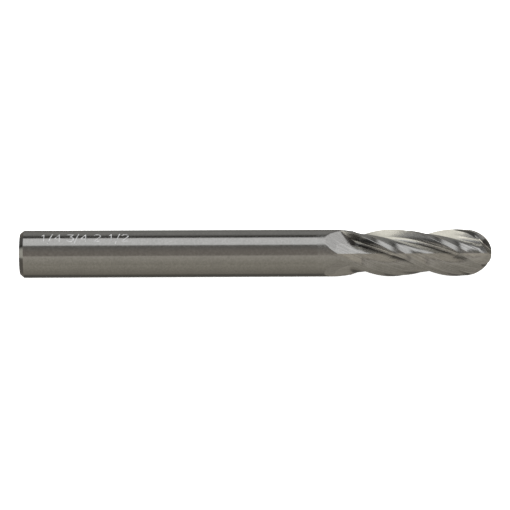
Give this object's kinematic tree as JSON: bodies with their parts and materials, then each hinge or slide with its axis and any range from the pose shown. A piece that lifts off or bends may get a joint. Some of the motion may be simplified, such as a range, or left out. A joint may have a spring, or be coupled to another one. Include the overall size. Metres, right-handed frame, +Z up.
{
  "type": "ball nose end mill",
  "caption": "Solid-carbide ball nose end mill with a plain round shank and right-hand helical flutes.",
  "frame": {"origin": "centre of the flat end face of the shank, on the tool's axis", "axes": "+X along the tool's axis from the shank end to the ball tip, +Z up as the tool lies on its side"},
  "size_m": [0.0635, 0.0064, 0.0064],
  "materials": {
    "ground_carbide": "centreless-ground cemented carbide, fine satin grain",
    "fluted_carbide": "ground cemented carbide, bright flutes with fine grinding lines"
  },
  "bodies": {
    "root": {"shank": "ground_carbide", "cutting_end": "fluted_carbide"}
  },
  "joints": []
}
